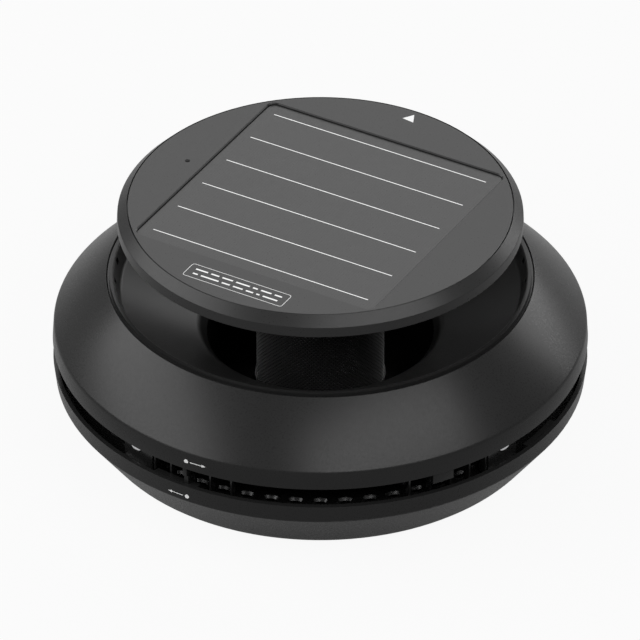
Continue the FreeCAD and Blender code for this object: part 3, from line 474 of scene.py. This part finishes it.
# Bright drawn steel, porous bronze, enamelled copper, smooth nickel and dull ferrite, each with its grain.
coat(metal("drawn_bright_steel", "#B9B9BA", "#9C9C9E", 0.32, 0.6, (1, 1, 0.08)), "motor_can", "motor_shaft")
coat(metal("sintered_bronze", "#B98A4E", "#8E6534", 0.5, 0.5), "motor_bearings")
coat(metal("enamelled_copper", "#B86A3C", "#8C4422", 0.35, 0.4, (1, 1, 0.2)), "armature", "commutator")
coat(metal("plated_nickel", "#C9C5BC", "#AFAAA0", 0.25, 1.2), "battery_contacts")
coat(bumpy_plastic("sintered_ferrite", "#3A3A3C", "#2E2E30", 0.7, 0.4, 0.03, 0.4), "motor_magnets")

# Glossy shrink sleeve on the cells, soft sheath on the leads and hard nylon for the plug.
coat(bumpy_plastic("blue_shrink_sleeve", "#1F4E8C", "#1B4479", 0.25, 3.0, 0.02, 0.5),
     "battery_cell_a", "battery_cell_b")
coat(bumpy_plastic("lead_sheath", "#141414", "#1B1B1B", 0.5, 1.0, 0.02, 0.4), "battery_lead", "motor_lead")
coat(bumpy_plastic("white_nylon", "#E4E1D8", "#DAD6CB", 0.45, 1.0, 0.02, 0.4), "lead_plug")
coat(foot_rubber, "lead_grommet")


# ================================================================ Screened tower
# A sheet of finely pierced steel, coated black, is wrapped round the tower's posts to keep insects out.
# Its lower edge is clamped by a flared ring of semi-gloss black ABS.

screen_r = 35.2
screen_thick = 0.5
screen_low = 20.4
screen_high = 123.1
pitch = 2.4
wire_half = 0.42
columns = round(math.tau * screen_r / pitch)
rows = round((screen_high - screen_low) / pitch)

bm = bmesh.new()
foot = bm.verts.new((screen_r, 0, screen_low))
head = bm.verts.new((screen_r, 0, screen_high))
bmesh.ops.subdivide_edges(bm, edges=[bm.edges.new((foot, head))], cuts=rows - 1)
bmesh.ops.spin(bm, geom=bm.verts[:] + bm.edges[:], cent=(0, 0, 0), axis=(0, 0, 1), angle=math.tau,
               steps=columns, use_merge=True)
bmesh.ops.remove_doubles(bm, verts=bm.verts[:], dist=1e-4)
square_edges = [edge for edge in bm.edges if not edge.is_boundary]
bmesh.ops.poke(bm, faces=bm.faces[:])
bmesh.ops.dissolve_edges(bm, edges=square_edges, use_verts=False)
diamonds = [face for face in bm.faces if len(face.verts) == 4]
bmesh.ops.inset_individual(bm, faces=diamonds, thickness=wire_half, use_even_offset=True)
bmesh.ops.delete(bm, geom=diamonds, context="FACES")
bmesh.ops.recalc_face_normals(bm, faces=bm.faces[:])
bmesh.ops.solidify(bm, geom=bm.faces[:], thickness=screen_thick)

# Black coated steel: matt face on, and pale at a glancing angle, like fine dust.
coated_steel = bumpy_plastic("black_coated_steel", "#171717", "#1F1F1F", 0.4, 0.5, 0.01, 0.5)
coated_shader = coated_steel.node_tree.nodes["Principled BSDF"]
coated_shader.inputs["Sheen Weight"].default_value = 0.4
coated_shader.inputs["Sheen Roughness"].default_value = 0.35
screen = piece("pierced_screen", bm, coated_steel)
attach(screen, "upper")
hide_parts("mesh_screen")
coat(dish_abs, "mesh_foot_ring")


# ================================================================ Cap
# The cap is a shallow pan with a chamfered edge, closed by a round plate with a sunk square tray.
# Both are satin ABS, a little paler than the housing, and screw together from below.

# Satin ABS: an even low sheen from a fine mould texture.
cap_abs = bumpy_plastic("satin_charcoal_abs", "#212121", "#242424", 0.32, 1.0, 0.012, 0.19)
coat(cap_abs, "cap_pan", "cap_top")


# ================================================================ Solar panel
# A square laminate with a satin epoxy face lies in the tray on foam tape.
# Six fine silver strips collect the current from rows of cells, which show only as a faint change of tone.

panel_turn = math.radians(-30.0)
# Satin epoxy: smooth and slightly frosted over the dark cells.
laminate = bumpy_plastic("satin_epoxy_laminate", "#292929", "#2C2C2C", 0.32, 0.8, 0.01, 0.2)
# The cells' collector fingers are 0.1 mm lines; they are drawn 0.8 mm wide so that they still show.
finger_pitch = 1.6
place = add(laminate, "ShaderNodeTexCoord").outputs["Object"]
square_on = add(laminate, "ShaderNodeMapping", {"Vector": place, "Rotation": (0, 0, -panel_turn)})
unit_wave = math.tau / 20   # at this scale the wave texture repeats once in each metre
fingers = add(laminate, "ShaderNodeTexWave",
              {"Vector": square_on.outputs[0], "Scale": unit_wave / (finger_pitch * MM)},
              wave_type="BANDS", bands_direction="X")
face_colour = laminate.node_tree.nodes["Principled BSDF"].inputs["Base Color"]
under = face_colour.links[0].from_socket
lined = add(laminate, "ShaderNodeMix", {0: fingers.outputs[1], 6: under, 7: linear("#2F2F2F")},
            data_type="RGBA")
laminate.node_tree.links.new(lined.outputs[2], face_colour)
coat(laminate, "solar_panel")
# Silver ink: a dry, even deposit.
coat(bumpy_plastic("silver_ink", "#F4F4F4", "#E6E6E6", 0.5, 0.6, 0.01, 0.3), "busbars")
coat(foot_rubber, "panel_glue")


# ================================================================ Printed marks
# White pad-printed ink: a pointer and a framed note on the cap, and dots with arrows at the twist lock.
# The note's words are plain dashes. Ink lies 0.02 mm proud of the plastic.

ink_lift = 0.02
ink_thick = 0.04
# Pad ink: opaque, with a dull face.
white_ink = bumpy_plastic("white_pad_ink", "#E9E9E9", "#D8D8D8", 0.5, 0.5, 0.01, 0.3)


def polygon(bm, corners):
    """Adds one flat shape from its corners, in the level plane."""
    bm.faces.new([bm.verts.new((x, y, 0)) for x, y in corners])


def bar(bm, x, y, width, height):
    """Adds a flat rectangle centred on a point."""
    polygon(bm, [(x - width / 2, y - height / 2), (x + width / 2, y - height / 2),
                 (x + width / 2, y + height / 2), (x - width / 2, y + height / 2)])


def printed_on_cap(name, bm, radius, bearing, turn):
    """Lays flat ink on the cap's top face, at a radius and bearing, turned about its own middle."""
    bmesh.ops.recalc_face_normals(bm, faces=bm.faces[:])
    bmesh.ops.solidify(bm, geom=bm.faces[:], thickness=ink_thick)
    middle = Matrix.Rotation(bearing, 4, "Z") @ Vector((radius, 0, cap_top_z + ink_lift))
    place = Matrix.Translation(middle) @ Matrix.Rotation(turn, 4, "Z")
    bmesh.ops.transform(bm, matrix=place, verts=bm.verts[:])
    mark = piece(name, bm, white_ink)
    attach(mark, "upper")


cap_top_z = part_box("cap_top")[1][2] / MM

pointer_tip = 3.1
pointer_half = 3.8
pointer_r = 97.1
bm = bmesh.new()
polygon(bm, [(pointer_tip, 0), (-pointer_tip, pointer_half), (-pointer_tip, -pointer_half)])
printed_on_cap("pointer_mark", bm, pointer_r, math.radians(60), math.radians(175))

note_width = 61.6
note_height = 12.1
note_line = 0.3
note_corner = 1.6
note_r = 89.5
# Height of each row of dashes above the note's middle, and the dashes' widths.
note_rows = ((2.1, (7.5, 5.0, 6.5, 8.5, 3.0, 6.5, 4.5)), (-2.1, (3.0, 11.0, 5.0, 6.0, 4.5, 2.0, 9.0)))
dash_gap = 2.0
dash_height = 1.1
bm = bmesh.new()
bar(bm, 0, 0, note_width, note_height)
bmesh.ops.bevel(bm, geom=bm.verts[:], offset=note_corner, offset_type="OFFSET", segments=4, profile=0.5,
                affect="VERTICES", material=-1)
note_field = bm.faces[:]
bmesh.ops.inset_individual(bm, faces=note_field, thickness=note_line, use_even_offset=True)
bmesh.ops.delete(bm, geom=note_field, context="FACES")
for row_y, widths in note_rows:
    dash_x = -(sum(widths) + dash_gap * (len(widths) - 1)) / 2
    for width in widths:
        bar(bm, dash_x + width / 2, row_y, width, dash_height)
        dash_x += width + dash_gap
printed_on_cap("note_mark", bm, note_r, math.radians(-120), panel_turn)

arrow_length = 9.4
arrow_gap = 1.2
arrow_line = 0.45
arrow_head = 2.4
arrow_half = 0.9
arrow_steps = 6        # the line is cut into this many, so that it follows the band's curve
dot_r = 1.25
mark_bearing = FRONT + math.radians(-29.4)


def lock_mark(name, radius, height, side, body):
    """Prints a dot and an arrow round an upright band; side 1 points the arrow to the right."""
    bm = bmesh.new()
    bmesh.ops.create_circle(bm, cap_ends=True, segments=24, radius=dot_r)
    start = dot_r + arrow_gap
    neck = start + arrow_length - arrow_head
    step = (neck - start) / arrow_steps
    for part in range(arrow_steps):
        bar(bm, side * (start + (part + 0.5) * step), 0, step, arrow_line)
    polygon(bm, [(side * neck, -arrow_half), (side * (neck + arrow_head), 0), (side * neck, arrow_half)])
    bmesh.ops.remove_doubles(bm, verts=bm.verts[:], dist=1e-4)
    bmesh.ops.recalc_face_normals(bm, faces=bm.faces[:])
    bmesh.ops.solidify(bm, geom=bm.faces[:], thickness=ink_thick)
    for vert in bm.verts:
        bearing = mark_bearing + vert.co.x / radius
        reach = radius + ink_lift + vert.co.z
        vert.co = (reach * math.cos(bearing), reach * math.sin(bearing), height + vert.co.y)
    mark = piece(name, bm, white_ink)
    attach(mark, body)


lock_mark("lock_mark_cover", 147.0, 59.8, 1, "upper")
lock_mark("lock_mark_base", 146.55, 36.1, -1, "base")


# ================================================================ Charge electronics
# A green laminate board with its parts and indicator sits beside the panel, a sprung switch over the button.
# The indicator's lens is smoked, so it looks black until it is lit.

# Glossy solder mask on the boards, duller resin on their parts, and a smooth lens that hardly shines.
coat(bumpy_plastic("green_solder_mask", "#0E5A2E", "#0B4A26", 0.3, 2.0, 0.01, 0.5),
     "charge_board", "switch_board")
coat(bumpy_plastic("black_epoxy_resin", "#1B1B1D", "#242426", 0.5, 0.6, 0.01, 0.4),
     "board_components", "button_switch")
smoked_lens = bumpy_plastic("smoked_lens", "#020202", "#040404", 0.3, 4.0, 0.005, 0.05)
coat(smoked_lens, "status_led")

window_r = 1.42
window_place = 84.2
window_crown = 0.02
window_low = cap_top_z - 0.28
bm = bmesh.new()
turned(bm, [(0, window_low), (window_r, window_low), (window_r, cap_top_z, 0.08),
            (0, cap_top_z + window_crown)], 32)
copies(bm, [math.pi + panel_turn], window_place)
window = piece("status_window", bm, smoked_lens)
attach(window, "upper")


# ================================================================ Power button
# A black ABS button under the cap: a flat face in a raised rim, with the usual power sign in white ink.
# Its flange stops it in the cap's floor, and its stem presses the switch.

button_low = 124.6
button_face = button_low + 0.3
button_r = 5.0
flange_low = 128.4
flange_r = 6.5
flange_high = 129.5
stem_r = 2.0
stem_top = 131.0
button_place = 86.0
bm = bmesh.new()
turned(bm, [(0, button_face), (3.6, button_face), (4.4, button_low, 0.2),
            (button_r, button_low + 0.2, 0.4), (button_r, flange_low),
            (flange_r, flange_low, 0.2), (flange_r, flange_high, 0.2),
            (stem_r, flange_high), (stem_r, stem_top, 0.3), (0, stem_top)], 48)
copies(bm, [panel_turn], button_place)
button = piece("push_button", bm, housing_abs)
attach(button, "button")
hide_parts("power_button")

sign_r = 2.2
sign_line = 0.4
sign_proud = 0.03
bm = bmesh.new()
turned(bm, [(sign_r, 0), (sign_r + sign_line, 0), (sign_r + sign_line, ink_thick), (sign_r, ink_thick)], 24,
       sweep=math.radians(280), start=math.radians(130))
bar(bm, 0, sign_r, sign_line, sign_r)
bmesh.ops.solidify(bm, geom=[face for face in bm.faces if not any(len(e.link_faces) > 1 for e in face.edges)],
                   thickness=ink_thick)
bmesh.ops.translate(bm, vec=(0, 0, button_face - sign_proud), verts=bm.verts[:])
copies(bm, [panel_turn], button_place)
sign = piece("power_sign", bm, white_ink)
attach(sign, "button")


# ================================================================ Screws
# Zinc-plated self-tapping screws with cross recesses hold the mouldings together.
# A spring clip of the same steel keeps the impeller on its shaft.

# Zinc plate: a greyish, slightly mottled shine.
zinc = metal("zinc_plated_steel", "#A9AAAC", "#8B8C8F", 0.35, 0.5)
coat(zinc, "vent_ring_screws", "guard_screws", "pan_screws", "duct_screws", "tower_foot_screws",
     "tower_top_screws", "cap_screws", "board_screws", "impeller_clip")


# ================================================================ Leg pins
# Each of the guards' four legs shows the domed head of a cross pin, high in the side gap.
# The heads are bright steel, each half sunk in its leg's outer face.

# Half sizes of the dome: out from the leg, round the axis and upwards.
pin_size = (1.3, 3.6, 1.9)
pin_height = 48.1
pin_place = 45.1
bm = bmesh.new()
bmesh.ops.create_uvsphere(bm, u_segments=24, v_segments=12, radius=1.0)
bmesh.ops.scale(bm, vec=pin_size, verts=bm.verts[:])
bmesh.ops.translate(bm, vec=(0, 0, pin_height), verts=bm.verts[:])
pin_angles = [FRONT + math.radians(turn + side * pin_place) for turn in (0, 180) for side in (-1, 1)]
copies(bm, pin_angles, guard_out)
# Bright steel: nearly a mirror, with the finest polishing marks.
bright_steel = metal("bright_steel", "#E2E2E3", "#D2D2D4", 0.15, 0.8)
pins = piece("leg_pin_heads", bm, bright_steel, crease=180.0)
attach(pins, "upper")
